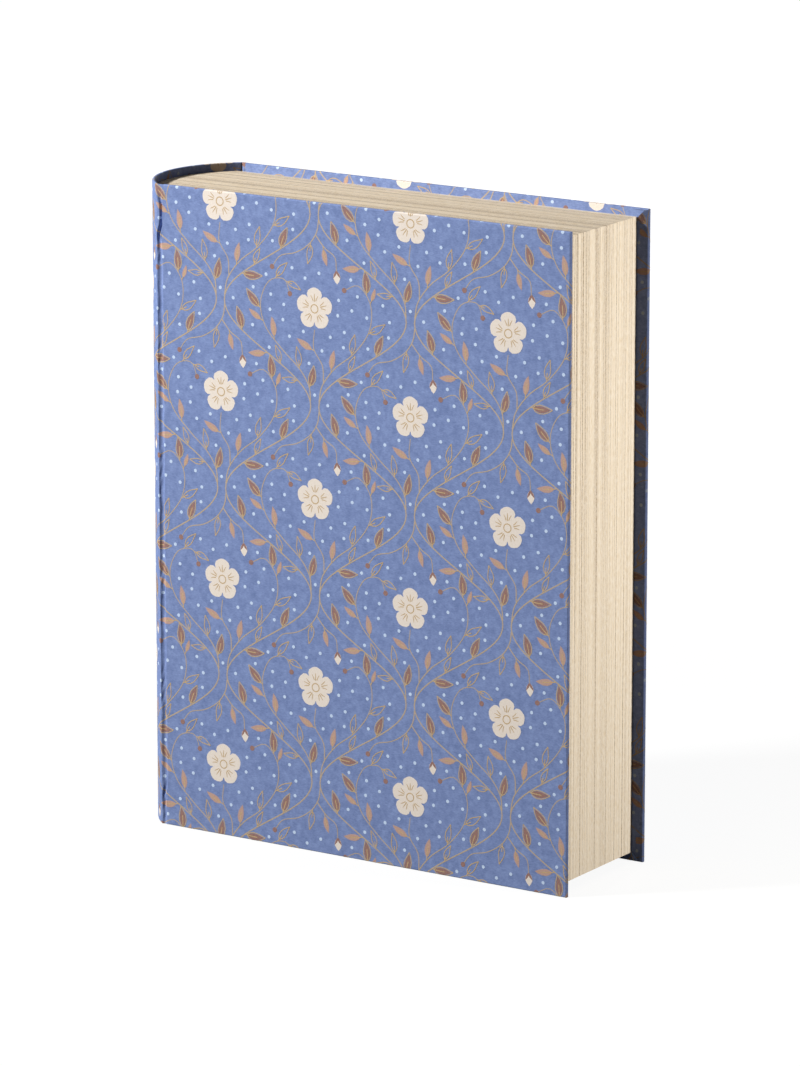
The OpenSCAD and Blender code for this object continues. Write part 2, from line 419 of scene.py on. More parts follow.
# Shape of the one printed sheet that covers the box. It is laid flat with the printed side up:
# u runs from the back cover's fore edge over the spine to the lid's fore edge, v from tail to head.
# All its sizes are in mm.
sheet = {
    "paper": 0.2,
    "underside": 0.19,  # below the printed side, a hair clear of what it lies on
    "spineCard": 1.0,
    "turnIn": 15.0,
    "creases": (0.6, 1.6, 3.0, 5.0, 8.0, 11.0),  # in from the edge, where the turn-in may bend
    "round": 0.5,  # radius over a board's edge
    "bends": 5,  # points round it
    "ridge": 0.6,  # how soft the ridges beside the spine are
    "lap": 1.4,  # fore edge turn-in over those of head and tail
    "lapFrom": 0.8,  # in from the edge
    "lapLift": 0.22,  # over the turn-in below
    "lapSlope": (1.6, 1.4),  # where the lift starts before the fold line, and how far it takes
    "corner": 25.0,  # from a corner of the board, where the mitres end
    "planStep": 0.05,  # between the samples of its plan
    "planMargin": 12.0,  # of the plan past both fore edges
    "hair": 1e-4,  # what is smaller counts as nothing
    # rows of the joints, closer where the lid's groove is pinched, and of the panels: margin and count
    "jointRows": ((0.6, 296.0, 1.1), (296.0, 329.5, 0.6)),
    "panelRows": (5.0, 24),
}
lowCorner, highCorner = (Vector(corner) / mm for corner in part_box("front_cover_paper"))
height = highCorner.z
foreX = highCorner.x
boardX = lowCorner.x
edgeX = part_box("joint_paper")[0].x / mm
halfDepth = -lowCorner.y
coverThick = highCorner.y - lowCorner.y
cardThick = sheet["spineCard"] + 2 * sheet["paper"]
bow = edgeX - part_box("spine_paper")[0].x / mm
spineRadius = (halfDepth ** 2 + bow ** 2) / (2 * bow)
spineHalf = math.asin(halfDepth / spineRadius)
panelWidth = foreX - boardX
jointWidth = boardX - edgeX
breaks = np.cumsum([0.0, panelWidth, jointWidth, 2 * spineRadius * spineHalf, jointWidth, panelWidth])
sheetEnd = breaks[-1]


def layPath():
    # plan of the printed face, sampled along u and softened at the ridges
    step = sheet["planStep"]
    u = np.arange(-sheet["planMargin"], sheetEnd + sheet["planMargin"], step)
    turn = math.pi - spineHalf + (u - breaks[2]) / spineRadius
    onSpine = (u > breaks[2]) & (u < breaks[3])
    x = np.where(u <= breaks[2], foreX - u, edgeX + u - breaks[3])
    x = np.where(onSpine, edgeX - bow + spineRadius + spineRadius * np.cos(turn), x)
    y = np.where(u <= breaks[2], halfDepth, -halfDepth)
    y = np.where(onSpine, spineRadius * np.sin(turn), y)
    reach = int(4 * sheet["ridge"] / step)
    kernel = np.exp(-0.5 * (np.arange(-reach, reach + 1) * step / sheet["ridge"]) ** 2)
    kernel /= kernel.sum()
    lines = []
    for line in (x, y):
        soft = np.convolve(line, kernel, "same")
        soft[:2 * reach] = line[:2 * reach]
        soft[-2 * reach:] = line[-2 * reach:]
        lines.append(soft)
    alongX, alongY = (np.gradient(line) for line in lines)
    length = np.hypot(alongX, alongY)
    return u, *lines, alongY / length, -alongX / length


pathU, pathX, pathY, pathOutX, pathOutY = layPath()

# Grooves of the joints, at heights in mm: how deep, how far from the cover's board, and half the width;
# starts are those of its waves, in radians
joints = {
    # the lid's groove is pinched hard below the head and wanders; lower down it is a soft, wavy hollow
    "lid": {
        "heights": (0, 5, 16, 24, 60, 150, 240, 290, 299, 304, 309, 315, 319, 322.5, 325.5, 330),
        "depth": (0.5, 0.8, 1.0, 0.85, 0.9, 0.95, 0.85, 0.95, 1.1, 1.35, 1.4, 1.4, 1.35, 0.9, 0.25, 0.12),
        "centre": (2.0, 1.9, 2.2, 1.6, 1.9, 2.1, 1.9, 2.0, 2.3, 2.7, 1.3, 0.95, 1.05, 2.1, 2.1, 2.0),
        "half": (1.0, 0.9, 1.1, 1.3, 1.45, 1.35, 1.45, 1.3, 1.1, 0.75, 0.7, 0.65, 0.7, 0.8, 1.3, 1.6),
        "starts": (0.0, 1.3, 0.0),
    },
    "back": {
        "heights": (0, 6, 20, 310, 324, 330),
        "depth": (0.3, 0.7, 0.95, 0.95, 0.7, 0.15),
        "centre": (2.0, 1.9, 2.0, 2.1, 2.0, 2.0),
        "half": (1.1, 1.2, 1.4, 1.4, 1.2, 1.5),
        "starts": (2.1, 3.4, -2.1),
    },
}
# How a groove wavers up the box; each wave has a size, and a length over 2 pi in mm
waver = {
    "sideways": ((0.16, 5.3), (0.12, 2.1), (0.1, 11.7)),
    "width": (0.12, 3.4),
    "depth": (0.1, 7.9),
    "crease": (0.1, 1.15),
    "creaseSlant": 2.3,
    "creaseBunch": 9.1,  # mm over 2 pi
    "calmHead": 9.0,  # mm under the head, where the creases fade out
    "runOut": 0.7,  # mm, at the sides of the joint
    "steepness": 2.4,  # of the groove's sides
}


def fade(value):
    value = np.clip(value, 0.0, 1.0)
    return value * value * (3 - 2 * value)


def wave(shape, v, start):
    size, length = shape
    return size * np.sin(v / length + start)


def grooveDepth(u, v):
    total = np.zeros_like(u)
    for way, style in ((breaks[4] - u, joints["lid"]), (u - breaks[1], joints["back"])):
        phase = style["starts"][0]
        sideways = sum(wave(shape, v, start) for shape, start in zip(waver["sideways"], style["starts"]))
        centre = np.interp(v, style["heights"], style["centre"]) + sideways
        half = np.interp(v, style["heights"], style["half"]) * (1 + wave(waver["width"], v, phase))
        depth = np.interp(v, style["heights"], style["depth"]) * (1 + wave(waver["depth"], v, phase))
        crease = wave(waver["crease"], v, waver["creaseSlant"] * way + phase)
        crease = crease * np.clip(np.sin(v / waver["creaseBunch"] + phase), 0, 1)
        window = fade(way / waver["runOut"]) * fade((jointWidth - way) / waver["runOut"])
        calm = fade((height - v) / waver["calmHead"])
        shape = np.exp(-np.abs((way - centre) / half) ** waver["steepness"])
        total += window * (depth * shape + calm * crease)
    return total


def edgeRadius(thick):
    return min(sheet["round"], 0.5 * thick)


def wrapEdge(past, thick):
    # way round a board's edge: inset from the edge, depth behind the printed side, and outward in both
    radius = edgeRadius(thick)
    run = np.maximum(past + radius, 0.0)
    quarter = 0.5 * math.pi * radius
    straight = thick - 2 * radius
    first = np.clip(run / radius, 0, 0.5 * math.pi)
    flat = np.clip(run - quarter, 0, straight)
    second = np.clip((run - quarter - straight) / radius, 0, 0.5 * math.pi)
    inner = np.maximum(run - 2 * quarter - straight, 0)
    bent = radius * (1 - np.sin(first)) + radius * (1 - np.cos(second)) + inner
    inset = np.where(past < -radius, -past, bent)
    depth = radius * (1 - np.cos(first)) + flat + radius * np.sin(second)
    return inset, depth, -np.sin(first + second), -np.cos(first + second)


def foreLap(inset, depth, thick):
    # how far the fore edge turn-in runs over the fold line of the corner
    return sheet["lap"] * np.clip(inset - sheet["lapFrom"], 0, 1) * (depth > thick - sheet["hair"])


def wrapSteps(thick):
    # places along the way round an edge where the sheet is creased
    radius = edgeRadius(thick)
    quarter = 0.5 * math.pi * radius
    straight = thick - 2 * radius
    bend = np.linspace(0, quarter, sheet["bends"])
    run = list(bend) + list(bend + quarter + straight)
    run += [2 * quarter + straight + inset for inset in (*sheet["creases"], sheet["turnIn"] - radius)]
    steps = np.array(run) - radius
    return steps[np.concatenate([[True], np.diff(steps) > sheet["hair"]])]


def placeSheet(u, v, lift, thick):
    # a point of the flat sheet, lifted off the paper, as it lies on the box
    foreInset = np.minimum(u, sheetEnd - u)
    endInset = np.minimum(v, height - v)
    radius = edgeRadius(thick)
    atEnd = (-endInset > -radius) & (-endInset > -foreInset)
    atFore = ~atEnd & (-foreInset > -radius)
    past = np.where(atEnd, -endInset, -foreInset)
    inset, depth, outInset, outDepth = wrapEdge(past, thick)
    lap = foreLap(inset, depth, thick)
    before, rise = sheet["lapSlope"]
    lapLift = sheet["lapLift"] * np.clip((inset + before - endInset) / rise, 0, 1) * (lap > 0)
    lifted = np.where(atFore, lift + lapLift, lift)
    depth = np.where(atFore | atEnd, depth + lifted * outDepth, -lift)
    edge = inset + lifted * outInset
    newFore = np.where(atFore, edge, np.where(atEnd, np.maximum(foreInset, inset), foreInset))
    newEnd = np.where(atEnd, edge, np.where(atFore, np.maximum(endInset, inset - lap), endInset))
    newU = np.where(u < 0.5 * sheetEnd, newFore, sheetEnd - newFore)
    newV = np.where(v < 0.5 * height, newEnd, height - newEnd)
    depth = depth + grooveDepth(newU, newV)
    x = np.interp(newU, pathU, pathX) - depth * np.interp(newU, pathU, pathOutX)
    y = np.interp(newU, pathU, pathY) - depth * np.interp(newU, pathU, pathOutY)
    return np.stack([x, y, newV], axis=1)


# how the painted shade spreads over the turned edges
paintedShadeSpread = {
    "lid": 0.8,  # of the darkening elsewhere
    "past": 0.7,  # mm past the spine's ends, where it starts
    "reach": 0.7,
    "slack": 0.01,
}


def paintedShadeShare(u, v, thick):
    # how far the sheet has gone over a fore edge or the spine's head and tail, which sets how much painted
    # shade it takes; the lid's takes less
    radius = edgeRadius(thick)
    past = np.maximum(-u, u - sheetEnd)
    share = fade((past + radius) / (0.5 * math.pi * radius)) * np.where(u < 0.5 * sheetEnd, 1.0, paintedShadeSpread["lid"])
    onSpine = (u > breaks[2] - paintedShadeSpread["slack"]) & (u < breaks[3] + paintedShadeSpread["slack"])
    return np.maximum(share, fade((np.maximum(-v, v - height) - paintedShadeSpread["past"]) / paintedShadeSpread["reach"]) * onSpine)


def closeSlab(faces, slots, count, rimSlot=None):
    # faces of one side, of the other side, whose points come count later, and of the rim between them
    edges = {}
    for face, slot in zip(faces, slots):
        for a, b in zip(face, face[1:] + face[:1]):
            edges[(a, b)] = slot
    solid = faces + [[i + count for i in reversed(face)] for face in faces]
    marks = slots + slots
    for (a, b), slot in edges.items():
        if (b, a) not in edges:
            solid.append([b, a, a + count, b + count])
            marks.append(slot if rimSlot is None else rimSlot)
    return solid, marks


def slabMesh(name, flat, faces, slots, top, bottom, thick, materials, rimSlot=None):
    # closed body between two lifts of flat faces
    upper = placeSheet(flat[:, 0], flat[:, 1], top, thick)
    lower = placeSheet(flat[:, 0], flat[:, 1], bottom, thick)
    solid, marks = closeSlab(faces, slots, len(flat), rimSlot)
    piece = placeMesh(name, (np.vstack([upper, lower]) * mm).tolist(), solid, materials)
    mesh = piece.data
    mesh.polygons.foreach_set("material_index", np.array(marks, np.int32))
    # how much painted shade each point takes
    turned = mesh.attributes.new("turned", "FLOAT", "POINT")
    turned.data.foreach_set("value", np.tile(paintedShadeShare(flat[:, 0], flat[:, 1], thick), 2))
    mesh.validate()
    return piece


def gridFaces(columns, rows):
    return [[r * columns + c, r * columns + c + 1, (r + 1) * columns + c + 1, (r + 1) * columns + c]
            for r in range(rows - 1) for c in range(columns - 1)]


def coverPatches(thick, across, upright, foreSide):
    # flat patches of one piece: the face with its fore edge turn-in, then the turn-ins of head and tail
    steps = wrapSteps(thick)
    radius = edgeRadius(thick)
    arc = wrapEdge(steps, thick)[0][:sheet["bends"]]
    main = across[(across > radius) & (across < sheetEnd - radius)]
    inner = upright[(upright > radius) & (upright < height - radius)]
    rows = np.concatenate([arc[::-1], inner, height - arc])
    columns = np.concatenate({-1: (-steps[::-1], main), 0: (main,), 1: (main, sheetEnd + steps)}[foreSide])
    past = np.maximum(-columns, columns - sheetEnd)
    inset, depth = wrapEdge(past, thick)[:2]
    inset = np.maximum(inset, 0)
    limit = np.where(past > -radius - sheet["hair"], inset, radius) - foreLap(inset, depth, thick)
    gridU, gridV = np.meshgrid(columns, rows)
    patches = [(gridU, np.clip(gridV, limit[None, :], height - limit[None, :]))]
    columns = np.concatenate({-1: (arc[::-1], main), 0: (main,), 1: (main, sheetEnd - arc)}[foreSide])
    for rows in (height + steps, -steps[::-1]):
        gridU, gridV = np.meshgrid(columns, rows)
        inset = wrapEdge(np.maximum(-gridV, gridV - height), thick)[0]
        patches.append((np.clip(gridU, inset, sheetEnd - inset), gridV))
    return patches


def mergePatches(patches, thick):
    # one mesh of the patches: what meets on the box is joined, except along the lap inside the corner
    flats, faces, start = [], [], 0
    for gridU, gridV in patches:
        flats.append(np.stack([gridU.ravel(), gridV.ravel()], axis=1))
        faces += [[i + start for i in face] for face in gridFaces(gridU.shape[1], gridU.shape[0])]
        start += gridU.size
    flat = np.vstack(flats)
    spots = np.round(placeSheet(flat[:, 0], flat[:, 1], 0.0, thick), 3)
    found = {}
    moved = [found.setdefault(spot, (len(found), i))[0] for i, spot in enumerate(map(tuple, spots))]
    keep = [first for _, first in found.values()]
    clean = []
    for face in faces:
        corners = list(dict.fromkeys(moved[i] for i in face))
        if len(corners) > 2:
            clean.append(corners)
    return flat[keep], clean


def columnsBetween(first, count):
    return np.linspace(breaks[first], breaks[first + 1], count)


jointRows = np.concatenate([np.arange(*run) for run in sheet["jointRows"]])
margin, rowCount = sheet["panelRows"]
panelRows = np.linspace(margin, height - margin, rowCount)
pieces = {
    # board thickness, columns, rows, side of the turned-in fore edge
    "backPaper": (coverThick, columnsBetween(0, 26), panelRows, -1),
    "backJointPaper": (2 * sheet["paper"], columnsBetween(1, 21), jointRows, 0),
    "spinePaper": (cardThick, columnsBetween(2, 28), panelRows, 0),
    "lidJointPaper": (2 * sheet["paper"], columnsBetween(3, 21), jointRows, 0),
    "lidPaper": (coverThick, columnsBetween(4, 26), panelRows, 1),
}


def makeCoverPapers():
    made = {}
    sides = [material["printedWovePaper"], material["cutPaperEdge"]]
    for name, (thick, across, upright, foreSide) in pieces.items():
        flat, faces = mergePatches(coverPatches(thick, across, upright, foreSide), thick)
        slots = [0] * len(faces)
        made[name] = slabMesh(name, flat, faces, slots, 0.0, -sheet["underside"], thick, sides, 1)
        print("  ", name, len(made[name].data.polygons), "faces")
    return made


coverPapers = makeCoverPapers()
print("cover papers laid")


# Lining of the lid: one sheet pasted in the joint, over the board's edge and across the board
lining = {
    "thick": 0.2,  # mm, as all its sizes
    "face": 0.19,  # over the board
    "low": 15.0,
    "high": 315.0,
    "glue": 0.03,  # between it and the printed sheet in the joint
    "bend": 0.1,  # over the board's edge
    "flatFrom": 4.0,  # in from the board's edge
    "columns": 12,
}


def makeJointLiner():
    thick, across, upright = pieces["lidJointPaper"][:3]
    between = upright[(upright > lining["low"]) & (upright < lining["high"])]
    rows = np.concatenate([[lining["low"]], between, [lining["high"]]])
    gridU, gridV = np.meshgrid(across, rows)
    flat = np.stack([gridU.ravel(), gridV.ravel()], axis=1)
    faces = gridFaces(len(across), len(rows))
    top = -sheet["paper"] - lining["glue"]
    return slabMesh("lidJointLiner", flat, faces, [0] * len(faces), top, top - lining["thick"], thick,
                    [material["creamLiningPaper"]])


def makeLidLining():
    boardIn = -halfDepth + coverThick - sheet["paper"]
    jointIn = -halfDepth + 2 * sheet["paper"]
    side = boardX - lining["thick"]
    face = boardIn + lining["face"]
    bend = lining["bend"]
    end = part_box("lid_lining")[1].x / mm
    outer = [(side, jointIn), (side, boardIn - bend), (boardX - bend, face)]
    inner = [(boardX, jointIn), (boardX, boardIn - 0.5 * bend), (boardX + 0.5 * bend, boardIn)]
    for x in np.linspace(boardX + lining["flatFrom"], end, lining["columns"]):
        outer.append((x, face))
        inner.append((x, boardIn))
    levels = (lining["low"], lining["high"])
    points = [(x * mm, y * mm, z * mm) for line in (inner, outer) for z in levels for x, y in line]
    faces = gridFaces(len(inner), 2)
    solid = closeSlab(faces, [0] * len(faces), 2 * len(inner))[0]
    return placeMesh("lidLining", points, solid, [material["creamLiningPaper"]])


linings = {"lidJointLiner": makeJointLiner(), "lidLining": makeLidLining()}
print("lid lined")


# The print: a traditional ogee trellis of wavy stems, a five-petalled blossom in each ogee,
# leaves, berries and dots. Distances are in mm from the middle of an ogee.
trellis = {
    "across": 112.0,  # between ogees in a row; every other column drops by half a repeat
    "down": 96.0,
    "start": (29.5, 36.0),  # where the first ogee lies on the flat sheet
    "margin": 80.0,  # printed past the sheet's ends
    "stemGap": 2.4,  # half of what is left between two wavy stems
    "stemPoints": 41,
    "stem": 0.64,  # width
    "fineLine": 0.44,  # outlines, midribs and stalks
    "lift": {"dots": 0.03, "stem": 0.03, "tan": 0.035, "rose": 0.035, "cream": 0.035, "gold": 0.052},
    "liftStep": 0.002,  # strokes drawn one after another lie this far apart
    "liftCount": 7,
    "soaked": -0.04,  # underside of the ink
    "room": 0.3,  # kept free on both sides of a line
    # branches inside an ogee, each from the stem it grows on
    "branches": (
        ((-2.5, -45.5), (-3.5, -38), (-9, -30), (-19, -21.5), (-29, -11), (-32, 1), (-27, 12), (-18, 14),
         (-14.5, 7)),
        ((2.5, -45.5), (4.5, -37), (12, -27.5), (23, -19), (32, -7), (33, 6), (26, 15), (17.5, 12)),
        ((5.2, -35.5), (4.6, -27), (-0.5, -19), (0, -9.5)),
        ((2.5, 45.5), (1.5, 39.5), (-3, 33), (-11, 28), (-20, 25.5), (-25, 19.5)),
        ((0.8, 37.8), (6, 32), (12, 28), (13, 21)),
    ),
    "branchStep": 2.2,
    "branchHalves": (0.46, 0.3),  # of the stem's width, at its foot and tip
    "berried": (0, 1, 3),  # branches that end in a berry
    "berry": 1.4,
    "berryRoom": 1.5,
    "budded": 4,
}
leaf = {
    "step": 5.2,
    "lengths": (9.2, 8.6, 8.8, 9.6, 8.4, 10.0, 8.6),
    "kinds": ("rose", "tan", "outline", "rose", "outline", "tan", "outline"),
    "gap": 0.9,
    "sizes": (1.0, 0.8),
    "places": (0.0, 0.12, 0.34, 0.6, 0.84, 1.0),
    "half": 0.18,  # of its length
    "belly": 0.8,  # how far towards the foot it is widest
    "fullness": 0.9,
    "stalk": 1.5,
    "curl": 0.13,
    "slant": (0.68, 0.12, 2.3),  # radians from the stem, how much that varies, and how fast
    "outlines": {"rose": 0.45, "outline": 0.2},  # how far the line lies off the leaf
    "past": (0.4, 1.1),  # how far it runs past foot and tip
    "midrib": {"rose": 4, "tan": 4, "outline": 3},
    "stemEnds": (6.0, 5.0),  # bare length at foot and tip
    "branchEnds": (7.0, 2.5),
}
# shares of a petal's length, but for that length, the centre and the half widths of lines
blossom = {
    "centre": (0.0, 1.0),
    "petal": 10.6,
    "petals": 5,
    "places": (0.12, 0.28, 0.48, 0.68, 0.84, 0.95, 1.0),
    "halves": (0.10, 0.23, 0.36, 0.42, 0.36, 0.20, 0.06),
    # veins: places along the petal and beside its middle, and half widths
    "veins": (
        ((0.34, 0.52, 0.7), (0.0, 0.0, 0.0), (0.3, 0.24, 0.12)),
        ((0.36, 0.5, 0.62), (-0.07, -0.13, -0.2), (0.24, 0.22, 0.12)),
        ((0.36, 0.5, 0.62), (0.07, 0.13, 0.2), (0.24, 0.22, 0.12)),
    ),
    "eye": 0.2,
    "ring": 0.28,
    "seed": 0.1,
}
bud = {
    "size": 6.5,
    "angle": -1.5,  # radians
    "places": (0.0, 0.2, 0.5, 0.8, 1.0),
    "halves": (0.08, 0.26, 0.33, 0.18, 0.0),
    "sepalPlaces": (0.0, 0.3, 0.62),
    "sepalHalves": (0.5, 0.62, 0.05),
    "sepalLean": 0.55,
    "middle": 3.0,  # below its foot
    "room": 3.2,
}
dot = {
    "size": 1.85,
    "gap": 5.4,  # to the other dots
    "room": 1.6,  # to all else
    "count": 30,
    "tries": 1500,
    "steps": (0.7549, 0.5698),  # shares of the repeat, from one try to the next
}


def heading(angle):
    return np.array([math.cos(angle), math.sin(angle)])


def directions(path):
    along = np.gradient(np.asarray(path, float), axis=0)
    return along / np.linalg.norm(along, axis=1)[:, None]


def lengthAlong(path):
    return np.concatenate([[0], np.cumsum(np.linalg.norm(np.diff(path, axis=0), axis=1))])


def leftOf(direction):
    return np.stack([-direction[..., 1], direction[..., 0]], axis=-1)


def nextLift(ink):
    # strokes drawn one after another do not share a plane
    ink["strokes"] += 1
    return ink["lift"] + trellis["liftStep"] * (ink["strokes"] % trellis["liftCount"])


def ribbon(ink, path, halves):
    # a strip along a path; where its half width is nothing it ends in a point
    path = np.asarray(path, float)
    halves = np.broadcast_to(np.asarray(halves, float), (len(path),))
    side = leftOf(directions(path)) * halves[:, None]
    lift = nextLift(ink)
    rights, lefts = [], []
    for point, offset, half in zip(path, side, halves):
        rights.append(len(ink["points"]))
        ink["points"].append((*(point - offset), lift))
        if half > sheet["hair"]:
            ink["points"].append((*(point + offset), lift))
        lefts.append(len(ink["points"]) - 1)
    for i in range(len(path) - 1):
        ink["faces"].append(list(dict.fromkeys([rights[i], rights[i + 1], lefts[i + 1], lefts[i]])))


def disc(ink, centre, radius, sides=8):
    start = len(ink["points"])
    lift = nextLift(ink)
    for i in range(sides):
        ink["points"].append((*(centre + radius * heading(2 * math.pi * (i + 0.5) / sides)), lift))
    ink["faces"].append(list(range(start, start + sides)))


def smoothPath(points, spacing):
    # an even run of points on a smooth curve through the given ones
    points = np.asarray(points, float)
    padded = np.vstack([2 * points[0] - points[1], points, 2 * points[-1] - points[-2]])
    dense = []
    for a, b, c, d in zip(padded, padded[1:], padded[2:], padded[3:]):
        for t in np.linspace(0, 1, 12, endpoint=False):
            bend = (2 * a - 5 * b + 4 * c - d) * t + (3 * b - a - 3 * c + d) * t * t
            dense.append(0.5 * (2 * b + (c - a + bend) * t))
    dense = np.array(dense + [points[-1]])
    run = lengthAlong(dense)
    wanted = np.linspace(0, run[-1], max(3, int(round(run[-1] / spacing)) + 1))
    return np.stack([np.interp(wanted, run, dense[:, k]) for k in (0, 1)], axis=1)


def isClear(taken, points, radii, gap):
    # whether a stroke keeps clear of all drawn ones, also of those in the repeats next to it
    spots = np.array([entry[:2] for entry in taken])
    reach = np.asarray(radii)[:, None] + np.array([entry[2] for entry in taken])[None] + gap
    for column in range(-2, 3):
        for row in range(-2, 3):
            shift = np.array([column * trellis["across"], (2 * row - column) * trellis["down"]]) / 2
            if (np.linalg.norm(points[:, None] - (spots + shift)[None], axis=2) < reach).any():
                return False
    return True


def drawLeaf(inks, foot, axis, halves, kind):
    # a pointed leaf on its stalk: filled, filled and outlined, or only outlined
    fine = 0.5 * trellis["fineLine"]
    if kind in inks:
        ribbon(inks[kind], axis, halves)
    if kind in leaf["outlines"]:
        along = directions(axis)
        across = leftOf(along) * (halves + leaf["outlines"][kind])[:, None]
        first = axis[:1] - leaf["past"][0] * along[0]
        last = axis[-1:] + leaf["past"][1] * along[-1]
        for edge in (axis + across, axis - across):
            ribbon(inks["gold"], np.vstack([first, edge[1:-1], last]), fine)
    ribbon(inks["gold"], np.vstack([[foot], axis[:leaf["midrib"][kind]]]), fine)


def growLeaf(inks, taken, path, i, side, turn):
    # one leaf that curves back along its stem, full size or smaller, if there is room for it
    share = np.array(leaf["places"])
    kind = turn % len(leaf["kinds"])
    along = directions(path)[i]
    slant, change, pace = leaf["slant"]
    forward = heading(math.atan2(along[1], along[0]) + side * (slant + change * math.sin(pace * turn)))
    for size in leaf["sizes"]:
        length = size * leaf["lengths"][kind]
        halves = leaf["half"] * length * np.sin(math.pi * share ** leaf["belly"]) ** leaf["fullness"]
        halves[[0, -1]] = 0
        axis = path[i] + np.outer(leaf["stalk"] + share * length, forward)
        axis = axis - np.outer(leaf["curl"] * side * length * share ** 2, leftOf(forward))
        if isClear(taken, axis[2:], halves[2:] + trellis["room"], leaf["gap"]):
            drawLeaf(inks, path[i], axis, halves, leaf["kinds"][kind])
            taken += [(*point, half + trellis["room"]) for point, half in zip(axis, halves)]
            return True
    return False


def leafAlong(inks, taken, path, ends, turn):
    # leaves now left, now right, and sometimes in a pair
    run = lengthAlong(path)
    for place in np.arange(ends[0], run[-1] - ends[1], leaf["step"]):
        i = int(np.argmin(np.abs(run - place)))
        wanted = 2 if turn % 3 == 0 else 1
        for side in ((1, -1) if turn % 2 else (-1, 1)):
            turn += 1
            wanted -= growLeaf(inks, taken, path, i, side, turn)
            if wanted < 1:
                break
    return turn


def drawBlossom(inks):
    centre = np.array(blossom["centre"])
    petal = blossom["petal"]
    for k in range(blossom["petals"]):
        forward = heading(math.pi / 2 + 2 * math.pi * k / blossom["petals"])
        middle = centre + np.outer(petal * np.array(blossom["places"]), forward)
        ribbon(inks["cream"], middle, petal * np.array(blossom["halves"]))
        for places, beside, halves in blossom["veins"]:
            vein = centre + np.outer(petal * np.array(places), forward)
            vein = vein + np.outer(petal * np.array(beside), leftOf(forward))
            ribbon(inks["gold"], vein, halves)
    eye = blossom["eye"] * petal
    disc(inks["cream"], centre, eye, 10)
    ring = [centre + eye * heading(angle) for angle in np.linspace(0, 2 * math.pi, 13)]
    ribbon(inks["gold"], ring, blossom["ring"])
    disc(inks["rose"], centre, blossom["seed"] * petal, 7)


def drawBud(inks, foot):
    angle = bud["angle"]
    middle = foot + np.outer(bud["size"] * np.array(bud["places"]), heading(angle))
    ribbon(inks["cream"], middle, bud["size"] * np.array(bud["halves"]))
    for side in (-1, 1):
        lean = heading(angle + side * bud["sepalLean"])
        sepal = foot + np.outer(bud["size"] * np.array(bud["sepalPlaces"]), lean)
        ribbon(inks["rose"], sepal, bud["sepalHalves"])


def scatterDots(inks, taken):
    # an even scatter from a fixed sequence, wherever there is room
    radius = np.array([0.5 * dot["size"]])
    spread = []
    for i in range(1, dot["tries"]):
        share = i * np.array(dot["steps"]) % 1 - 0.5
        spot = share * (0.5 * trellis["across"], trellis["down"])
        if not isClear(taken, spot[None], radius, dot["room"]):
            continue
        if spread and not isClear(spread, spot[None], radius, dot["gap"]):
            continue
        disc(inks["dots"], spot, radius[0])
        spread.append((*spot, radius[0]))
        if len(spread) == dot["count"]:
            break


def drawRepeat():
    inks = {}
    for name in inkColours:
        inks[name] = {"points": [], "faces": [], "strokes": 0, "lift": trellis["lift"][name]}
    rise = np.linspace(-0.5, 0.5, trellis["stemPoints"])
    quarter = trellis["across"] / 4
    swing = quarter - trellis["stemGap"]
    stem = np.stack([-quarter - swing * np.cos(2 * math.pi * rise), trellis["down"] * rise], axis=1)
    ribbon(inks["stem"], stem, 0.5 * trellis["stem"])
    drawBlossom(inks)
    taken = [(*point, trellis["room"]) for point in stem] + [(*blossom["centre"], blossom["petal"])]
    branches = [smoothPath(points, trellis["branchStep"]) for points in trellis["branches"]]
    for branch in branches:
        ribbon(inks["stem"], branch, trellis["stem"] * np.linspace(*trellis["branchHalves"], len(branch)))
        taken += [(*point, trellis["room"]) for point in branch]
    for k in trellis["berried"]:
        disc(inks["rose"], branches[k][-1], trellis["berry"])
        taken.append((*branches[k][-1], trellis["berryRoom"]))
    foot = branches[trellis["budded"]][-1]
    drawBud(inks, foot)
    taken.append((foot[0], foot[1] - bud["middle"], bud["room"]))
    turn = leafAlong(inks, taken, stem, leaf["stemEnds"], 0)
    for branch in branches:
        turn = leafAlong(inks, taken, branch, leaf["branchEnds"], turn)
    scatterDots(inks, taken)
    return inks


# kind and value of each input of the roller; its grid starts half a repeat before the first ogee
columnStep, rowStep = trellis["across"] / 2, trellis["down"]
startU, startV = trellis["start"]
rollerInputs = {
    "Columns": ("NodeSocketInt", int((sheetEnd + trellis["margin"]) / columnStep) + 3),
    "Rows": ("NodeSocketInt", int((height + trellis["margin"]) / rowStep) + 3),
    "Column Step": ("NodeSocketFloat", columnStep),
    "Row Step": ("NodeSocketFloat", rowStep),
    "Start": ("NodeSocketVector", (startU - columnStep, startV - rowStep / 2, 0.0)),
}
# name, operation and terms of each sum, in order
rollerSums = (
    ("lastColumn", "SUBTRACT", "Columns", 1.0),
    ("lastRow", "SUBTRACT", "Rows", 1.0),
    ("wide", "MULTIPLY", "lastColumn", "Column Step"),
    ("tall", "MULTIPLY", "lastRow", "Row Step"),
    ("halfWide", "MULTIPLY", "wide", 0.5),
    ("halfTall", "MULTIPLY", "tall", 0.5),
    ("fromLeft", "ADD", "x", "halfWide"),
    ("column", "DIVIDE", "fromLeft", "Column Step"),
    ("whole", "ROUND", "column"),
    ("odd", "MODULO", "whole", 2.0),
    ("halfRow", "MULTIPLY", "Row Step", 0.5),
    ("drop", "MULTIPLY", "odd", "halfRow"),
    ("up", "SUBTRACT", "halfTall", "drop"),
)


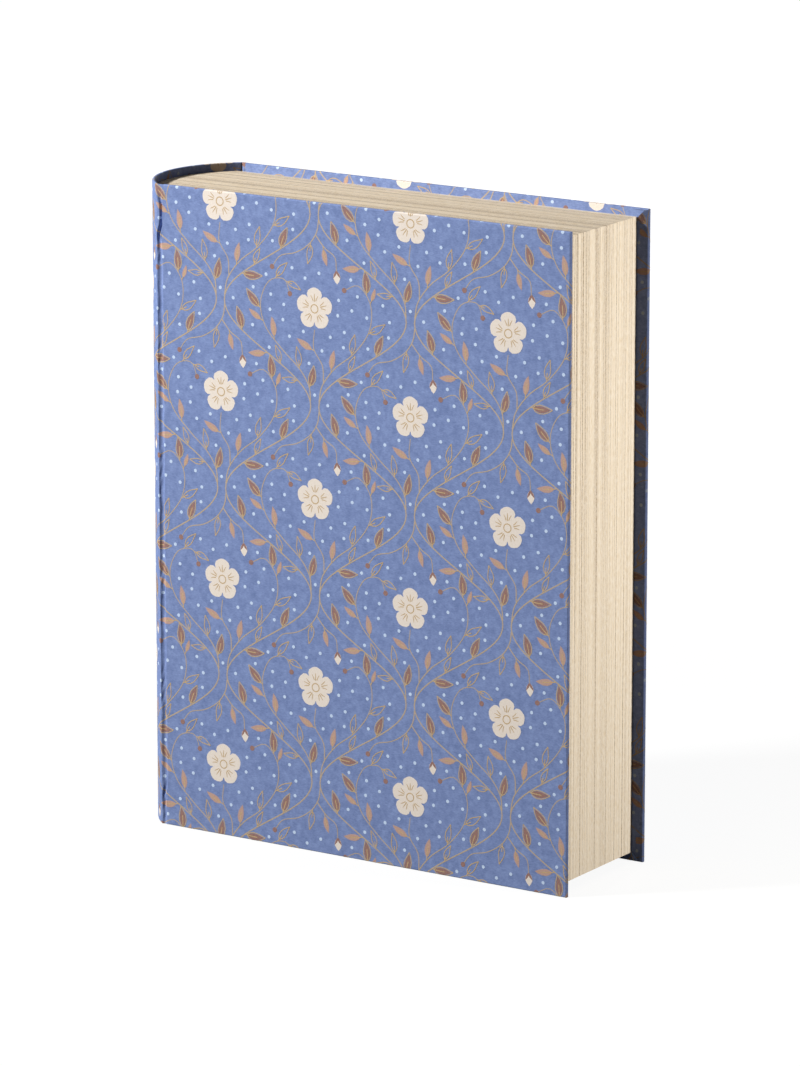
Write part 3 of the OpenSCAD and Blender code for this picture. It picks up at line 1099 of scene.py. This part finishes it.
def repeatTree(ink):
    # the printing roller: one repeat set down over the sheet, every other column half a repeat lower
    tree = bpy.data.node_groups.new("halfDropRepeat", "GeometryNodeTree")
    face = tree.interface
    face.new_socket("Repeat", in_out="INPUT", socket_type="NodeSocketGeometry")
    for name, (kind, _) in rollerInputs.items():
        face.new_socket(name, in_out="INPUT", socket_type=kind)
    face.new_socket("Print", in_out="OUTPUT", socket_type="NodeSocketGeometry")
    add = partial(addNode, tree)
    given = add("NodeGroupInput")
    known = {name: given[name] for name in rollerInputs}
    place = add("GeometryNodeInputPosition")
    known["x"] = add("ShaderNodeSeparateXYZ", {0: place[0]})[0]
    for name, operation, *terms in rollerSums:
        inputs = {i: known.get(term, term) for i, term in enumerate(terms)}
        known[name] = add("ShaderNodeMath", inputs, operation=operation)[0]
    spots = add("GeometryNodeMeshGrid",
                {"Size X": known["wide"], "Size Y": known["tall"], "Vertices X": known["Columns"],
                 "Vertices Y": known["Rows"]})
    shift = add("ShaderNodeCombineXYZ", {0: known["halfWide"], 1: known["up"]})
    total = add("ShaderNodeVectorMath", {0: shift[0], 1: known["Start"]}, operation="ADD")
    moved = add("GeometryNodeSetPosition", {"Geometry": spots["Mesh"], "Offset": total[0]})
    printed = add("GeometryNodeInstanceOnPoints", {"Points": moved[0], "Instance": given["Repeat"]})
    real = add("GeometryNodeRealizeInstances", {"Geometry": printed[0]})
    inked = add("GeometryNodeSetMaterial", {"Geometry": real[0], "Material": ink})
    add("NodeGroupOutput", {"Print": inked[0]})
    return tree


def rollInk(name, ink):
    # flat print of one ink over the whole sheet, as points and faces
    roller = placeMesh(name + "Repeat", ink["points"], ink["faces"])
    tree = repeatTree(inkMaterial[name])
    modifier = roller.modifiers.new("roll", "NODES")
    modifier.node_group = tree
    for item in tree.interface.items_tree:
        if item.name in rollerInputs:
            modifier[item.identifier] = rollerInputs[item.name][1]
    seen = roller.evaluated_get(bpy.context.evaluated_depsgraph_get())
    flat = bpy.data.meshes.new_from_object(seen)
    spots = np.array([v.co for v in flat.vertices])
    faces = [list(p.vertices) for p in flat.polygons]
    bpy.data.objects.remove(roller)
    bpy.data.meshes.remove(flat)
    return spots, faces


def creaseFlat(flat, axis, values):
    # cut the faces that cross a crease of the sheet
    for value in values:
        crossing = []
        for face in flat.faces:
            places = [corner.co[axis] for corner in face.verts]
            if min(places) < value - sheet["hair"] and max(places) > value + sheet["hair"]:
                crossing.append(face)
        if crossing:
            cutFlat(flat, crossing, (value, 0, 0) if axis == 0 else (0, value, 0), (1 - axis, axis, 0))


def cutFlat(flat, faces, place, across):
    parts = set(faces)
    for face in faces:
        parts.update(face.edges)
        parts.update(face.verts)
    bmesh.ops.bisect_plane(flat, geom=list(parts), dist=0.1 * sheet["hair"], plane_co=place, plane_no=across)


def mitreSlack(thick):
    # how much shorter the way round a board's edge is than its thickness would make it
    return thick - (4 - math.pi) * edgeRadius(thick)


def mitreFlat(flat, thick, foreSide):
    # cut along the mitres at both corners of the fore edge
    edge = 0.0 if foreSide < 0 else sheetEnd
    slack = mitreSlack(thick)
    for side, corner in ((-1, 0.0), (1, height)):
        across = Vector((foreSide, side, 0)).normalized()
        for run in (slack, slack + sheet["lap"]):
            near = []
            for face in flat.faces:
                centre = face.calc_center_median()
                if abs(centre.x - edge) < sheet["corner"] and abs(centre.y - corner) < sheet["corner"]:
                    near.append(face)
            if near:
                cutFlat(flat, near, (edge + foreSide * run, corner, 0), across)


def trimFlat(flat, low, high, thick):
    # keep what lies on this piece and its turn-ins, mitred at the corners
    reach = wrapSteps(thick)[-1]
    radius = edgeRadius(thick)
    slack = mitreSlack(thick)
    gone = []
    for face in flat.faces:
        centre = face.calc_center_median()
        u, v = centre.x, centre.y
        endPast = max(-v, v - height)
        forePast = max(-u, u - sheetEnd)
        outside = u < low or u > high or endPast > reach
        if endPast > -radius and endPast >= forePast:
            outside = outside or -forePast < max(0.0, endPast - slack)
        elif forePast > -radius:
            outside = outside or -endPast < max(0.0, forePast - slack - sheet["lap"])
        if outside:
            gone.append(face)
    bmesh.ops.delete(flat, geom=gone, context="FACES")


def layInks(flat, printed, low, high, reach):
    # the printed faces that may lie on this piece, each ink in its own slot
    for slot, (spots, faces) in enumerate(printed.values()):
        made = {}
        for face in faces:
            places = spots[face]
            if places[:, 0].max() < low or places[:, 0].min() > high:
                continue
            if places[:, 1].max() < -reach or places[:, 1].min() > height + reach:
                continue
            corners = []
            for i in face:
                if i not in made:
                    made[i] = flat.verts.new(spots[i])
                corners.append(made[i])
            flat.faces.new(corners).material_index = slot


def printPiece(name, printed, thick, across, upright, foreSide):
    # the inks on one piece of the sheet: thin films that follow its creases
    steps = wrapSteps(thick)
    reach = steps[-1]
    low = across[0] - (reach if foreSide < 0 else 0)
    high = across[-1] + (reach if foreSide > 0 else 0)
    flat = bmesh.new()
    layInks(flat, printed, low, high, reach)
    lines = across
    if foreSide:
        lines = -steps if foreSide < 0 else sheetEnd + steps
    creaseFlat(flat, 0, [across[0], across[-1], *lines])
    creaseFlat(flat, 1, [*-steps, *(height + steps), *(upright if upright is jointRows else [])])
    if foreSide:
        mitreFlat(flat, thick, foreSide)
    trimFlat(flat, low, high, thick)
    bmesh.ops.triangulate(flat, faces=[f for f in flat.faces if len(f.verts) > 4])
    for vert in [v for v in flat.verts if not v.link_faces]:
        flat.verts.remove(vert)
    flat.verts.index_update()
    spots = np.array([v.co for v in flat.verts])
    faces = [[v.index for v in f.verts] for f in flat.faces]
    slots = [f.material_index for f in flat.faces]
    flat.free()
    inks = [inkMaterial[ink] for ink in printed]
    piece = slabMesh(name, spots, faces, slots, spots[:, 2], trellis["soaked"], thick, inks)
    print("  ", name, len(piece.data.polygons), "faces")
    return piece


def printSheet():
    rolled = {name: rollInk(name, ink) for name, ink in drawRepeat().items()}
    print("  ink rolled out,", sum(len(faces) for _, faces in rolled.values()), "faces")
    made = {}
    for name, (thick, across, upright, foreSide) in pieces.items():
        title = name.replace("Paper", "Print")
        made[title] = printPiece(title, rolled, thick, across, upright, foreSide)
    return made


prints = printSheet()
print("print laid on the papers")


# The finish of the pieces drawn in CAD, and what the other pieces stand in for
finishes = {
    "greyboard": ("back_board", "front_board", "tray_floor", "head_wall", "tail_wall", "fore_edge_wall",
                  "spine_side_wall"),
    "spineCard": ("spine_card",),
    "gummedKraftTape": ("corner_stays",),
    "pageEdgePaper": ("head_page_paper", "tail_page_paper", "fore_edge_page_paper"),
    "creamLiningPaper": ("floor_lining", "head_lining", "tail_lining", "fore_edge_lining",
                         "spine_side_lining"),
    "magnetSteel": ("tray_magnets", "lid_keepers"),
}
stands = {
    "backPaper": "back_cover_paper",
    "spinePaper": "spine_paper",
    "lidPaper": "front_cover_paper",
    "lidJointPaper": "joint_paper",
    "lidJointLiner": "joint_liner",
    "lidLining": "lid_lining",
}


def dressNodes():
    for finish, names in finishes.items():
        for name in names:
            slots = nodes[name].data.materials
            slots.clear()
            slots.append(material[finish])


def bodyOf(name):
    return "lid" if name.startswith("lid") else "case"


def mountPieces():
    for name, piece in {**coverPapers, **prints, **linings}.items():
        if name.startswith("lidJoint"):
            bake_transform(piece)
        else:
            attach(piece, bodyOf(name))
        if name in stands:
            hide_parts(stands[name])


dressNodes()
mountPieces()
print("pieces mounted")
